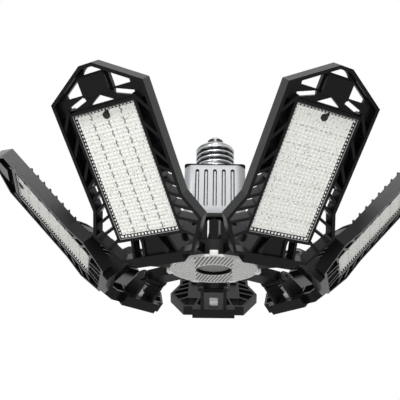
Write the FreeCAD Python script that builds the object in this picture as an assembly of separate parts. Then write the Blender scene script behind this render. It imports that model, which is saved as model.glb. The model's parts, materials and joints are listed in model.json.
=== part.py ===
"""A folding garage light: seven hinged light panels round a lamp hub that screws into a ceiling socket.

Millimetres, Z up. The lamp hangs from its screw base, so the origin is on the lamp's axis at the
foot of the screw shell, and heights here count up from the ring lens's face until a part is written.
The panels stand at their photographed fold. Each panel is drawn flat in its own plan:
X across the panel, Y outward from its foot, Z from the lit face to the back.
"""
import FreeCAD, Part
import math
import os

os.makedirs("parts", exist_ok=True)
V = FreeCAD.Vector

# ------------------------------------------------------------------ driving dimensions
# whole lamp
panel_count = 7
fold_angle = 45.0            # panel above the horizontal, as photographed
hinge_radius = 53.2          # lamp axis to hinge pin
hinge_height = 4.1           # hinge pin above the lens face

# gaps between parts
running_gap = 0.05           # radial, pin in its eye
side_gap = 0.2               # arm between two ears
slip_gap = 0.1               # part dropped into a pocket

# panel plan, out from the foot
panel_length = 106.9
tip_half = 3.6
shoulder_at = 93.1
side_half = 26.4
waist_at = 35.5              # where the long side starts to flare
flare_at = 21.6
flare_half = 32.4
heel_at = 4.0
heel_half = 21.8
foot_half = 15.2

# panel frame, from the lit face to the back
frame_depth = 7.3
rim_wall = 1.8
rib_wall = 1.6
rib_front = 0.5              # ribs lie this far behind the rim's face

# lamp tray in the panel
tray_near = 15.4
tray_far = 86.6
tray_half = 19.2
tray_wall = 1.5
tray_front = 0.9
tray_floor = 1.9
ledge_width = 1.2

# pieces in the tray
lens_recess = 2.2            # rim face to lens face
lens_thick = 1.2
lens_border = 0.3            # height of the lens's raised border
board_gap = 1.0              # lens back to board
board_thick = 1.0

# cooling fins across the panel's back
fin_count = 8
fin_first_at = 40.2
fin_pitch = 5.7
fin_height = 3.3
fin_thick = 1.6
fin_taper = 0.4              # narrowing on each side of a fin's tip
fin_half = 17.6

# ribs between tray and rim
cross_rib_count = 6
cross_rib_first_at = 16.8    # at the tray wall
cross_rib_pitch = 6.9
rib_drop = 4.2               # how far a cross rib runs back toward the foot
brace_count = 3
brace_first_at = 61.6
brace_pitch = 13.2
brace_drop = 10.6
brace_web_from = 47.0        # from here to the tip the openings between the braces have a back
brace_web_thick = 1.2

# open web at the tip
web_front = 3.2
web_thick = 1.8
boss_half = 7.6
boss_near = 91.9
boss_far = 101.3
boss_front = 0.6
window_gap = 1.0             # web left round the windows
window_far = 105.3
slot_width = 2.3

# foot, its ramp plate and the hinge ears
foot_wall = 2.6
ramp_front = 1.6
ramp_thick = 1.8
ramp_half_foot = 7.6
ramp_half_tray = 4.6
rail_wall = 1.4
rail_half_foot = 14.4
rail_half_tray = 10.6
axis_back = 22.7             # hinge pin behind the lit face
axis_out = 5.1               # hinge pin out from the foot
ear_thick = 2.1
ear_round = 4.0
ear_base = 14.0              # ear's length along the ramp
plug_half = 3.1
plug_near = 4.4
plug_length = 5.6
plug_height = 3.4            # above the panel's back
plug_bevel = 0.6

# hinge pin
pin_radius = 2.0
pin_head_radius = 3.2
pin_head_height = 2.2

# hub
hub_radius = 27.6
hub_height = 12.0
hub_wall = 1.8
hub_chamfer = 1.4
arm_width = 13.8
arm_top = 8.0
arm_round = 4.0
centre_round = 10.4          # recess in the middle of the ring lens
centre_wall = 0.8
centre_foot = 0.3            # recess wall's edge behind the lens face
centre_floor = 6.6
wire_bore = 3.6

# ring lamp
ring_lens_thick = 1.6
ring_board_gap = 2.4         # lens back to board
ring_board_thick = 1.0
tab_width = 5.0
tab_reach = 2.6
tab_height = 3.4
cap_recess = 2.3

# neck
neck_radius = 14.5
neck_bore = 3.4
housing_foot = 30.6
spigot_length = 3.0
spigot_radius = 6.8

# silver housing
housing_half = 19.6
housing_height = 33.6
housing_corner = 6.0
housing_wall = 1.6
housing_lip = 6.2            # width of the turned-in lower edge
lip_thick = 1.2
flute_count = 5              # on each of the four faces
flute_pitch = 5.6
flute_width = 2.1
flute_depth = 0.9
flute_length = 26.0
flute_foot = 4.5             # above the housing's lower edge
edge_round = 1.2
cover_thick = 2.4
cover_overlap = 3.0

# driver inside the housing
circuit_width = 26.0
circuit_height = 23.0
circuit_thick = 1.6
circuit_slot = 1.2           # depth of the slot that holds the board
can_radius = 4.8
can_length = 15.0
choke_width = 13.0
choke_height = 11.0
choke_depth = 9.0

# screw base
collar_radius = 14.4
collar_height = 2.0
collar_neck_radius = 11.4
thread_radius = 13.0
thread_root = 12.1
thread_pitch = 3.63
thread_turns = 5
shell_wall = 0.5
shell_skirt = 2.6
shell_shoulder_radius = 8.6
shell_shoulder_height = 2.6
glass_radius_top = 5.2
glass_height = 3.2
contact_radius = 4.6
contact_height = 1.7


# ------------------------------------------------------------------ small helpers
def face_of(points, height):
    """Flat face through plan points at one height."""
    ring = [V(x, y, height) for x, y in points]
    return Part.Face(Part.makePolygon(ring + ring[:1]))


def prism(points, low, high):
    return face_of(points, low).extrude(V(0, 0, high - low))


def both_sides(points):
    """Close an outline given on the +X side with its mirror image."""
    return points + [(-x, y) for x, y in reversed(points)]


def block(x0, x1, y0, y1, z0, z1):
    return Part.makeBox(x1 - x0, y1 - y0, z1 - z0, V(x0, y0, z0))


def cylinder(radius, low, high, x=0.0, y=0.0):
    return Part.makeCylinder(radius, high - low, V(x, y, low))


def tube(outer, inner, low, high):
    return cylinder(outer, low, high).cut(cylinder(inner, low, high))


def strip(start, end, width, low, high):
    """Upright blade of even width between two plan points."""
    (x0, y0), (x1, y1) = start, end
    length = math.hypot(x1 - x0, y1 - y0)
    ox, oy = -(y1 - y0) / length * width / 2, (x1 - x0) / length * width / 2
    corners = [(x0 + ox, y0 + oy), (x1 + ox, y1 + oy), (x1 - ox, y1 - oy), (x0 - ox, y0 - oy)]
    return prism(corners, low, high)


def mirror_x(shape):
    return shape.mirror(V(0, 0, 0), V(1, 0, 0))


def fuse(first, *others):
    return first.multiFuse(list(others)).removeSplitter()


def revolve(profile):
    """Turn a closed (radius, height) outline about the Z axis."""
    ring = [V(r, 0, z) for r, z in profile]
    return Part.Face(Part.makePolygon(ring + ring[:1])).revolve(V(0, 0, 0), V(0, 0, 1), 360)


def rounded_square(half, corner, low, high):
    shape = block(-half, half, -half, half, low, high)
    upright = [e for e in shape.Edges if abs(e.tangentAt(e.FirstParameter).z) > 0.9]
    return shape.makeFillet(corner, upright)


def round_ear(half_x_in, half_x_out, base_low, base_high, base_z):
    """Ear plate: a flat foot on the ramp, drawn up to a round end on the hinge axis."""
    def on(y, z):
        return V(half_x_in, y, z)
    reach = math.hypot(base_high - axis_out, axis_back - base_z)
    lean = math.acos(ear_round / reach) - math.atan2(axis_back - base_z, base_high - axis_out)
    touch = on(axis_out + ear_round * math.cos(lean), axis_back + ear_round * math.sin(lean))
    low_side = on(axis_out - ear_round, axis_back)
    crown = on(axis_out, axis_back + ear_round)
    edges = [Part.makeLine(on(base_low, base_z), on(base_high, base_z)),
             Part.makeLine(on(base_high, base_z), touch),
             Part.Arc(touch, crown, low_side).toShape(),
             Part.makeLine(low_side, on(base_low, base_z))]
    return Part.Face(Part.Wire(edges)).extrude(V(half_x_out - half_x_in, 0, 0))


def along_x(radius, x0, x1):
    """Round bar on the hinge axis of a panel."""
    return Part.makeCylinder(radius, x1 - x0, V(x0, axis_out, axis_back), V(1, 0, 0))


# ------------------------------------------------------------------ worked-out sizes
lens_back = lens_recess + lens_thick
board_front = lens_back + board_gap
board_back = board_front + board_thick
pocket_half = tray_half - tray_wall
pocket_near = tray_near + tray_wall
pocket_far = tray_far - tray_wall
ear_in = arm_width / 2 + side_gap
ear_out = ear_in + ear_thick
ring_board_base = ring_lens_thick + ring_board_gap
ring_board_top = ring_board_base + ring_board_thick
housing_top = housing_foot + housing_height
sector = 360.0 / panel_count


def panel_outline():
    return both_sides([(tip_half, panel_length), (side_half, shoulder_at), (side_half, waist_at),
                       (flare_half, flare_at), (heel_half, heel_at)])


def rim_half_at(y):
    """Half width of the rim's inner face at a distance from the foot."""
    if y >= waist_at:
        return side_half - rim_wall
    if y >= flare_at:
        share = (waist_at - y) / (waist_at - flare_at)
        return side_half + share * (flare_half - side_half) - rim_wall
    share = (flare_at - y) / (flare_at - heel_at)
    return flare_half + share * (heel_half - flare_half) - rim_wall


# ------------------------------------------------------------------ panel pieces
def panel_rim():
    outer = face_of(panel_outline(), 0)
    inner = outer.makeOffset2D(-rim_wall, 2)
    wall = outer.cut(Part.Face(inner.Wires[0])) if not inner.Faces else outer.cut(inner)
    return wall.extrude(V(0, 0, frame_depth))


def tray():
    """Lamp tray: a pocket for the lens, and behind its ledge a deeper one for the board."""
    body = block(-tray_half, tray_half, tray_near, tray_far, tray_front, board_back + tray_floor)
    lens_pocket = block(-pocket_half, pocket_half, pocket_near, pocket_far, 0, lens_back)
    board_pocket = block(-pocket_half + ledge_width, pocket_half - ledge_width,
                         pocket_near + ledge_width, pocket_far - ledge_width, 0, board_back)
    return body.cut(lens_pocket).cut(board_pocket)


def fins():
    """Cooling fins across the tray's back, narrower at the tip than at the root."""
    blades = []
    root = board_back + tray_floor
    for n in range(fin_count):
        y = fin_first_at + n * fin_pitch
        tip = fin_thick / 2 - fin_taper
        side = [V(-fin_half, y - fin_thick / 2, root - 0.2), V(-fin_half, y + fin_thick / 2, root - 0.2),
                V(-fin_half, y + tip, root + fin_height), V(-fin_half, y - tip, root + fin_height)]
        blades.append(Part.Face(Part.makePolygon(side + side[:1])).extrude(V(2 * fin_half, 0, 0)))
    return blades


def ribs():
    """Both sides of the tray: short cross ribs low down, long braces with a thin back near the tip."""
    blades = []
    bite = rim_wall / 2
    for n in range(cross_rib_count):
        y = cross_rib_first_at + n * cross_rib_pitch
        end = y - rib_drop
        blades.append(strip((tray_half - bite, y + rib_wall / 2), (rim_half_at(end) + bite, end),
                            rib_wall, rib_front, frame_depth))
    for n in range(brace_count):
        y = brace_first_at + n * brace_pitch
        end = y - brace_drop
        blades.append(strip((tray_half - bite, y), (rim_half_at(end) + bite, end),
                            rib_wall, rib_front, frame_depth))
    blades.append(block(tray_half - bite, side_half - bite, brace_web_from, tray_far,
                        frame_depth - brace_web_thick, frame_depth))
    return blades + [mirror_x(b) for b in blades]


def tip_web():
    """Web past the tray's far end, with its raised square boss and its windows."""
    reach = tray_far - tray_wall
    inner = [(tip_half - rim_wall / 2, panel_length - rim_wall / 2),
             (side_half - rim_wall / 2, shoulder_at - rim_wall / 2), (side_half - rim_wall / 2, reach)]
    web = prism(both_sides(inner), web_front, web_front + web_thick)
    boss = block(-boss_half, boss_half, boss_near, boss_far, boss_front, frame_depth)
    low, high = web_front - 1, web_front + web_thick + 1
    gap = window_gap
    outer_edge = side_half - rim_wall * 4.6
    side_window = prism([(boss_half + gap, boss_near + gap * 1.3), (boss_half + gap, boss_far - gap / 2),
                         (outer_edge, shoulder_at + rim_wall), (outer_edge, boss_near + gap * 1.3)], low, high)
    slot = strip((boss_half + gap, boss_near - gap / 2), (side_half - rim_wall * 4.4, tray_far + gap * 1.5),
                 slot_width, low, high)
    end_window = prism([(-boss_half * 0.72, boss_far + gap), (boss_half * 0.72, boss_far + gap),
                        (tip_half * 0.6, window_far), (-tip_half * 0.6, window_far)], low, high)
    tray_window = prism([(-boss_half * 0.9, tray_far + gap), (boss_half * 0.9, tray_far + gap),
                         (0, boss_near - gap / 2)], low, high)
    web = web.cut(Part.makeCompound([side_window, mirror_x(side_window), slot, mirror_x(slot),
                                     end_window, tray_window]))
    return [web, boss]


def foot():
    """End wall toward the hub, ramp plate, four rails and the two hinge ears."""
    wall = block(-foot_half, foot_half, 0, foot_wall, 0, frame_depth)
    sole = both_sides([(foot_half, heel_at + rim_wall / 2), (foot_half, foot_wall / 2)])
    joint_bar = prism(sole, 0, frame_depth)
    tray_bite = tray_near + tray_wall / 2
    ramp = prism(both_sides([(ramp_half_tray, tray_bite), (ramp_half_foot, foot_wall / 2)]),
                 ramp_front, ramp_front + ramp_thick)
    bed = prism(both_sides([(ear_out, tray_bite), (ear_out, foot_wall / 2)]),
                frame_depth - ramp_thick, frame_depth)
    rails = []
    for at_foot, at_tray in ((ramp_half_foot, ramp_half_tray), (rail_half_foot, rail_half_tray)):
        rail = strip((at_foot, foot_wall / 2), (at_tray, tray_bite), rail_wall, 0.4, frame_depth)
        rails += [rail, mirror_x(rail)]
    ear = round_ear(ear_in, ear_out, 0.4, ear_base, frame_depth - ramp_thick)
    return [wall, joint_bar, ramp, bed] + rails + [ear, mirror_x(ear)]


def panel_frame():
    """One casting: rim, ribs, tray, fins, tip web, foot and hinge ears."""
    shape = fuse(panel_rim(), tray(), *(fins() + ribs() + tip_web() + foot()))
    shape = shape.cut(along_x(pin_radius, -ear_out - 1, ear_out + 1))
    return shape.cut(block(-plug_half, plug_half, plug_near, plug_near + plug_length,
                           frame_depth - ramp_thick, frame_depth + 1))


def led_board():
    edge = ledge_width + slip_gap
    return block(-pocket_half + edge, pocket_half - edge, pocket_near + edge, pocket_far - edge,
                 board_front, board_back)


def panel_lens():
    """Clear cover with a thin raised border, dropped into the tray from the front."""
    x, y0, y1 = pocket_half - slip_gap, pocket_near + slip_gap, pocket_far - slip_gap
    plate = block(-x, x, y0, y1, lens_recess - lens_border, lens_back)
    return plate.cut(block(-x + ledge_width, x - ledge_width, y0 + ledge_width, y1 - ledge_width,
                           0, lens_recess))


def lead_plug():
    """Pale plug for the board's leads, seated in the frame between the ears."""
    plug = block(-plug_half, plug_half, plug_near, plug_near + plug_length,
                 frame_depth - ramp_thick, frame_depth + plug_height)
    top = [e for e in plug.Edges if e.BoundBox.ZMin > frame_depth + plug_height - 0.01]
    return plug.makeChamfer(plug_bevel, top)


def hinge_pin():
    """Shoulder screw through both ears, its head on one of them."""
    head = along_x(pin_head_radius, ear_out, ear_out + pin_head_height)
    return head.fuse(along_x(pin_radius, -ear_out, ear_out)).removeSplitter()


def set_in_place(shape, number):
    """Carry a flat panel piece to its hinge, fold it up and turn it to its place on the hub."""
    placed = shape.copy()
    placed.translate(V(0, -axis_out, -axis_back))
    placed.rotate(V(0, 0, 0), V(1, 0, 0), fold_angle)
    placed.translate(V(0, hinge_radius, hinge_height))
    placed.rotate(V(0, 0, 0), V(0, 0, 1), number * sector)
    return placed


# ------------------------------------------------------------------ hub pieces
def arm():
    """Hub arm with its round hinge eye."""
    bar = block(-arm_width / 2, arm_width / 2, hub_radius - hub_wall, hinge_radius,
                ring_lens_thick, arm_top)
    eye = Part.makeCylinder(arm_round, arm_width, V(-arm_width / 2, hinge_radius, hinge_height), V(1, 0, 0))
    return bar.fuse(eye)


def around(shape, count=panel_count, start=0.0):
    """Copies of a shape, evenly spaced round the lamp's axis."""
    copies = []
    for n in range(count):
        copy = shape.copy()
        copy.rotate(V(0, 0, 0), V(0, 0, 1), start + n * 360.0 / count)
        copies.append(copy)
    return copies


def hub_body():
    """Dish that holds the ring lamp, with seven arms and a seat for the neck."""
    inner_wall = centre_round + centre_wall
    inside = hub_radius - hub_wall
    profile = [(wire_bore, centre_floor), (centre_round, centre_floor), (centre_round, centre_foot),
               (inner_wall, centre_foot), (inner_wall, ring_board_top), (inside, ring_board_top),
               (inside, ring_lens_thick), (hub_radius, ring_lens_thick),
               (hub_radius, hub_height - hub_chamfer), (hub_radius - hub_chamfer, hub_height),
               (spigot_radius, hub_height), (spigot_radius, hub_height - spigot_length),
               (wire_bore, hub_height - spigot_length)]
    shape = fuse(revolve(profile), *around(arm()))
    eye = Part.makeCylinder(pin_radius + running_gap, arm_width + 2,
                            V(-arm_width / 2 - 1, hinge_radius, hinge_height), V(1, 0, 0))
    return shape.cut(Part.makeCompound(around(eye)))


def ring_lens():
    """Ring lens with seven snap tabs, one in each gap between two arms."""
    ring = tube(hub_radius, centre_round + centre_wall + slip_gap, 0, ring_lens_thick)
    tab = block(-tab_width / 2, tab_width / 2, hub_radius + slip_gap, hub_radius + tab_reach, 0, tab_height)
    root = block(-tab_width / 2, tab_width / 2, hub_radius - 1, hub_radius + slip_gap, 0, ring_lens_thick)
    return fuse(ring, *around(tab.fuse(root), start=sector / 2))


def ring_board():
    return tube(hub_radius - hub_wall - slip_gap, centre_round + centre_wall + slip_gap,
                ring_board_base, ring_board_top)


def centre_cap():
    """Grey plug in the middle of the ring, over the wiring bore."""
    return cylinder(centre_round - slip_gap, cap_recess, centre_floor)


def neck():
    """Hollow neck with a spigot at each end, one in the hub and one in the housing's cover."""
    profile = [(neck_bore, hub_height - spigot_length), (spigot_radius, hub_height - spigot_length),
               (spigot_radius, hub_height), (neck_radius, hub_height), (neck_radius, housing_foot),
               (spigot_radius, housing_foot), (spigot_radius, housing_foot + cover_thick),
               (neck_bore, housing_foot + cover_thick)]
    return revolve(profile)


def housing():
    """Silver square housing with rounded corners, five flutes on each face and an open foot."""
    outer = rounded_square(housing_half, housing_corner, housing_foot, housing_top)
    top = [e for e in outer.Edges if e.BoundBox.ZMin > housing_top - 0.01]
    outer = outer.makeChamfer(edge_round, top)
    inner = rounded_square(housing_half - housing_wall, housing_corner - housing_wall,
                           housing_foot + lip_thick, housing_top - housing_wall)
    opening_half = housing_half - housing_lip
    opening = block(-opening_half, opening_half, -opening_half, opening_half, 0, housing_foot + 5)
    low = housing_foot + flute_foot
    flutes = []
    for n in range(flute_count):
        x = (n - (flute_count - 1) / 2) * flute_pitch
        flutes.append(block(x - flute_width / 2, x + flute_width / 2, -housing_half - 1,
                            flute_depth - housing_half, low, low + flute_length))
    shape = outer.cut(inner).cut(opening).cut(cylinder(collar_neck_radius, housing_top - 5, housing_top + 5))
    return shape.cut(Part.makeCompound(around(Part.makeCompound(flutes), 4)))


def foot_cover():
    """Black cover in the housing's foot, with a slot for the driver board."""
    low = housing_foot
    opening_half = housing_half - housing_lip - slip_gap
    plug = block(-opening_half, opening_half, -opening_half, opening_half, low, low + cover_thick)
    flange_half = opening_half + cover_overlap
    flange = block(-flange_half, flange_half, -flange_half, flange_half, low + lip_thick, low + cover_thick)
    bed = block(-circuit_width / 2, circuit_width / 2, spigot_radius + 1, spigot_radius + 1 + circuit_thick * 3,
                low + cover_thick - 0.2, low + cover_thick + circuit_slot)
    slot_mid = spigot_radius + 1 + circuit_thick * 1.5
    slot = block(-circuit_width / 2 - 1, circuit_width / 2 + 1, slot_mid - circuit_thick / 2 - slip_gap,
                 slot_mid + circuit_thick / 2 + slip_gap, low + cover_thick, low + 20)
    shape = fuse(plug, flange, bed).cut(slot)
    return shape.cut(cylinder(spigot_radius, low - 1, low + 20))


def driver_board():
    y = spigot_radius + 1 + circuit_thick * 1.5
    base = housing_foot + cover_thick
    return block(-circuit_width / 2, circuit_width / 2, y - circuit_thick / 2, y + circuit_thick / 2,
                 base, base + circuit_height)


def driver_can():
    """Storage capacitor lying against the driver board."""
    face = spigot_radius + 1 + circuit_thick
    base = housing_foot + cover_thick + circuit_slot + 1
    return cylinder(can_radius, base, base + can_length, -circuit_width / 4 - 1, face - can_radius)


def driver_choke():
    face = spigot_radius + 1 + circuit_thick
    base = housing_foot + cover_thick + circuit_slot + 2
    return block(circuit_width / 4 - choke_width / 2 + 1, circuit_width / 4 + choke_width / 2 + 1,
                 face - choke_depth, face, base, base + choke_height)


# ------------------------------------------------------------------ screw base
collar_top = housing_top + collar_height
thread_low = collar_top + shell_skirt
thread_high = thread_low + thread_turns * thread_pitch
shell_top = thread_high + shell_shoulder_height
glass_top = shell_top + glass_height


def base_collar():
    """Insulating collar between housing and screw shell, with a plug into each of them."""
    foot = housing_top - housing_wall
    profile = [(0, foot), (collar_neck_radius - slip_gap, foot),
               (collar_neck_radius - slip_gap, housing_top), (collar_radius, housing_top),
               (collar_radius, collar_top), (thread_root - shell_wall - slip_gap, collar_top),
               (thread_root - shell_wall - slip_gap, thread_low), (0, thread_low)]
    return revolve(profile)


def screw_shell():
    """Pressed metal shell: a plain skirt, the rolled thread's crests and a drawn-in shoulder."""
    outline = [(thread_radius, collar_top), (thread_radius, thread_low)]
    for n in range(thread_turns):
        outline += [(thread_root, thread_low + (n + 0.5) * thread_pitch),
                    (thread_radius, thread_low + (n + 1) * thread_pitch)]
    inside = thread_root - shell_wall
    outline += [(shell_shoulder_radius, shell_top), (shell_shoulder_radius - shell_wall, shell_top),
                (inside, thread_high), (inside, collar_top)]
    return revolve(outline)


def base_glass():
    """Dark insulator that closes the shell and carries the centre contact."""
    profile = [(0, shell_top - 1), (shell_shoulder_radius - shell_wall - slip_gap, shell_top - 1),
               (shell_shoulder_radius - shell_wall - slip_gap, shell_top), (shell_shoulder_radius, shell_top),
               (glass_radius_top, glass_top), (0, glass_top)]
    return revolve(profile)


def base_contact():
    disc = cylinder(contact_radius, glass_top, glass_top + contact_height)
    rim = [e for e in disc.Edges if e.BoundBox.ZMin > glass_top + contact_height - 0.01]
    return disc.makeChamfer(contact_height * 0.6, rim)


# ------------------------------------------------------------------ write the parts
def save(shape, name):
    """Write a part with the foot of the screw shell at height zero."""
    placed = shape.copy()
    placed.translate(V(0, 0, -collar_top))
    placed.exportStep("parts/" + name + ".step")


panel_pieces = {"panel_frame": panel_frame(), "led_board": led_board(), "panel_lens": panel_lens(),
                "hinge_pin": hinge_pin(), "lead_plug": lead_plug()}
for number in range(panel_count):
    for name, shape in panel_pieces.items():
        save(set_in_place(shape, number), name + "_" + str(number + 1))

save(hub_body(), "hub_body")
save(ring_lens(), "ring_lens")
save(ring_board(), "ring_led_board")
save(centre_cap(), "centre_cap")
save(neck(), "neck")
save(housing(), "driver_housing")
save(foot_cover(), "housing_foot_cover")
save(driver_board(), "driver_board")
save(driver_can(), "driver_capacitor")
save(driver_choke(), "driver_choke")
save(base_collar(), "base_collar")
save(screw_shell(), "screw_shell")
save(base_glass(), "base_insulator")
save(base_contact(), "centre_contact")
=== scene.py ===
"""Folding garage light: the finish round the solid model of a screw-in lamp with seven hinged panels.

Each operator below makes one piece, or one group of like pieces, of the lamp. Sizes are in metres.
"""

import json
import math

import bmesh
import bpy
from mathutils import Matrix, Vector


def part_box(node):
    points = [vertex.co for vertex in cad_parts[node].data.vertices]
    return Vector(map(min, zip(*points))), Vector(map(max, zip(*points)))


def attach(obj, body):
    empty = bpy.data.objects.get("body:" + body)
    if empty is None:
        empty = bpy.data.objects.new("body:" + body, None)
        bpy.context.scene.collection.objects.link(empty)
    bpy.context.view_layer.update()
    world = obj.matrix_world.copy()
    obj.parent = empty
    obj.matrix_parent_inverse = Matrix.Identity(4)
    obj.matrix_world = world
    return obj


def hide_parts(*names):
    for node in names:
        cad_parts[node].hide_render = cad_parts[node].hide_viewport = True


bl_info = {
    "name": "Folding Garage Light",
    "version": (1, 0, 0),
    "blender": (4, 5, 0),
    "location": "View3D > Sidebar > Garage Light",
    "description": "Builds the lens, lamp and screw base finish of a folding garage light",
    "category": "Object",
}

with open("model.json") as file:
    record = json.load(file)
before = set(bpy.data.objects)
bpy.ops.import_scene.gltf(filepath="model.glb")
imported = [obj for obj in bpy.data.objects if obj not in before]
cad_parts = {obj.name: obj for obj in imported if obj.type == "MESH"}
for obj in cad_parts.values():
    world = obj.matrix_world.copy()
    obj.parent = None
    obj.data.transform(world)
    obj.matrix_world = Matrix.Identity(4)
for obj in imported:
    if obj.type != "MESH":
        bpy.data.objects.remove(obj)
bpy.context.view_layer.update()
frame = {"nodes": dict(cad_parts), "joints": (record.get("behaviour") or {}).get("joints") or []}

MM = 0.001
PANEL_JOINTS = [joint for joint in frame["joints"] if joint["name"].startswith("panel_")]
SECTOR = 2 * math.pi / len(PANEL_JOINTS)      # turn from one panel to the next

# panel plan: X across, Y out from the foot, Z from the lit face to the back
FOLD_AT_REST = math.radians(45)
HINGE_OUT = 5.1 * MM          # hinge pin out from the foot
HINGE_BACK = 22.7 * MM        # hinge pin behind the lit face
LENS_RIM_WIDTH = 0.5 * MM
FIELD_DEPTH = 0.85 * MM       # lens field behind its rim
EAR_OUTER_FACE = 9.2 * MM     # hinge ear's outer face from the panel's middle
FLUTE_FOOT = 4.5 * MM         # housing flutes' lower ends above its foot
ROUND_STEPS = 32              # steps round a small turned piece
PLUG_SHIFT = (Vector((0, 2.4 * MM, 0)), Vector((0, 1.5 * MM, -0.5 * MM)))   # plug's corners from its solid's
# the lengthwise panels are chosen by how the light falls: their dark dashes are partly the lines between lamp
# strips and partly painted shade
LENGTHWISE_PANELS = (1, 2, 4)     # panels whose cover lines run from foot to tip

LAMPS = (                     # name, place, size and power, all aimed at LAMP_AIM
    ("left soft box", (-0.61, -1.02, 0.48), (0.16, 0.24), 6.6),
    ("right soft box", (0.53, -1.08, 0.49), (0.22, 0.26), 1.2),
    ("top soft box", (0, -1.13, 0.59), (0.6, 0.2), 6.8),
    ("low soft box", (0, -1.2, -0.55), (0.9, 0.5), 5.0),
)
LAMP_AIM = (0, 0, -0.04)


# ------------------------------------------------------------------ settings
def length_setting(name, description, millimetres):
    return bpy.props.FloatProperty(name=name, description=description, default=millimetres * MM,
                                   unit="LENGTH", min=0)


class GarageLightSizes(bpy.types.PropertyGroup):
    dot_rows: bpy.props.IntProperty(
        name="Dot rows", description="Rows of lens dots along a panel", default=34, min=2)
    dot_columns: bpy.props.IntProperty(
        name="Dot columns", description="Columns of lens dots across a panel", default=16, min=2)
    dot_height: length_setting("Dot height", "Height of a lens dot", 0.22)
    thread_pitch: length_setting("Thread pitch", "Rise of the screw thread in a turn", 3.63)
    thread_depth: length_setting("Thread depth", "Crest to root of the screw thread", 1.0)
    prism_pitch: length_setting("Prism pitch", "Spacing of the ring lens prisms", 2.3)
    prism_depth: length_setting("Prism depth", "Depth of the ring lens prisms", 0.8)
    flute_width: length_setting("Flute width", "Width of a housing flute", 2.7)
    flute_depth: length_setting("Flute depth", "Depth of a housing flute", 1.5)
    flute_length: length_setting("Flute length", "Length of a housing flute", 26.0)
    flute_pitch: length_setting("Flute pitch", "Spacing of the housing flutes", 5.6)
    lid_thickness: length_setting("Lid thickness", "Height of the lid above the housing", 0.8)


def colour_setting(name, description, default):
    return bpy.props.FloatVectorProperty(name=name, description=description, subtype="COLOR",
                                         size=3, min=0, max=1, default=default)


class GarageLightColours(bpy.types.PropertyGroup):
    casting: colour_setting("Casting", "Black coated frames and hub", (0.003, 0.0032, 0.0036))
    neck: colour_setting("Neck", "Glossy black neck", (0.001, 0.001, 0.0012))
    field: colour_setting("Lamp field", "Dotted cover over the lamps", (0.88, 0.88, 0.84))
    speck: colour_setting("Specks", "Fine specks on the dotted cover", (0.42, 0.42, 0.38))
    ring: colour_setting("Ring lens", "Ring cover at its prism crests", (0.80, 0.80, 0.78))
    # painted shade: the ring lens is darkened to this near-black tone in its prism grooves
    ring_groove_shade: colour_setting("Ring groove shade", "Ring cover between its prisms", (0.02, 0.02, 0.02))
    silver: colour_setting("Housing", "Silver driver housing", (0.31, 0.32, 0.33))
    nickel: colour_setting("Shell", "Bright screw shell", (0.44, 0.45, 0.46))
    cap: colour_setting("Centre cap", "Grey cap in the ring", (0.24, 0.24, 0.235))


def sizes():
    return bpy.context.scene.garage_light_sizes


def colours():
    return bpy.context.scene.garage_light_colours


# ------------------------------------------------------------------ node groups and materials
def grain_group():
    """Fine cast or moulded grain: gives a height for bump and a roughness that varies a little."""
    group = bpy.data.node_groups.get("surface grain")
    if group:
        return group
    group = bpy.data.node_groups.new("surface grain", "ShaderNodeTree")
    for name, value in (("Scale", 900.0), ("Roughness", 0.5), ("Variation", 0.08)):
        socket = group.interface.new_socket(name=name, in_out="INPUT", socket_type="NodeSocketFloat")
        socket.default_value = value
    group.interface.new_socket(name="Height", in_out="OUTPUT", socket_type="NodeSocketFloat")
    group.interface.new_socket(name="Roughness", in_out="OUTPUT", socket_type="NodeSocketFloat")
    nodes, links = group.nodes, group.links
    inputs = nodes.new("NodeGroupInput")
    outputs = nodes.new("NodeGroupOutput")
    place = nodes.new("ShaderNodeTexCoord")
    noise = nodes.new("ShaderNodeTexNoise")
    noise.inputs["Detail"].default_value = 3.0
    spread = nodes.new("ShaderNodeMath")
    spread.operation = "MULTIPLY_ADD"
    links.new(place.outputs["Object"], noise.inputs["Vector"])
    links.new(inputs.outputs["Scale"], noise.inputs["Scale"])
    links.new(noise.outputs["Fac"], spread.inputs[0])
    links.new(inputs.outputs["Variation"], spread.inputs[1])
    links.new(inputs.outputs["Roughness"], spread.inputs[2])
    links.new(noise.outputs["Fac"], outputs.inputs["Height"])
    links.new(spread.outputs[0], outputs.inputs["Roughness"])
    return group


def groove_group():
    """Colour between a raised tone and a darker tone of painted shade, by how deep the surface lies in a
    groove.
    """
    group = bpy.data.node_groups.get("groove shade")
    if group:
        return group
    group = bpy.data.node_groups.new("groove shade", "ShaderNodeTree")
    for name in ("Raised", "Painted groove shade"):
        group.interface.new_socket(name=name, in_out="INPUT", socket_type="NodeSocketColor")
    group.interface.new_socket(name="Color", in_out="OUTPUT", socket_type="NodeSocketColor")
    nodes, links = group.nodes, group.links
    inputs = nodes.new("NodeGroupInput")
    outputs = nodes.new("NodeGroupOutput")
    depth = nodes.new("ShaderNodeAttribute")
    depth.attribute_name = "groove"
    blend = nodes.new("ShaderNodeMix")
    blend.data_type = "RGBA"
    links.new(depth.outputs["Fac"], blend.inputs["Factor"])
    links.new(inputs.outputs["Raised"], blend.inputs["A"])
    links.new(inputs.outputs["Painted groove shade"], blend.inputs["B"])
    links.new(blend.outputs["Result"], outputs.inputs["Color"])
    return group


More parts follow.
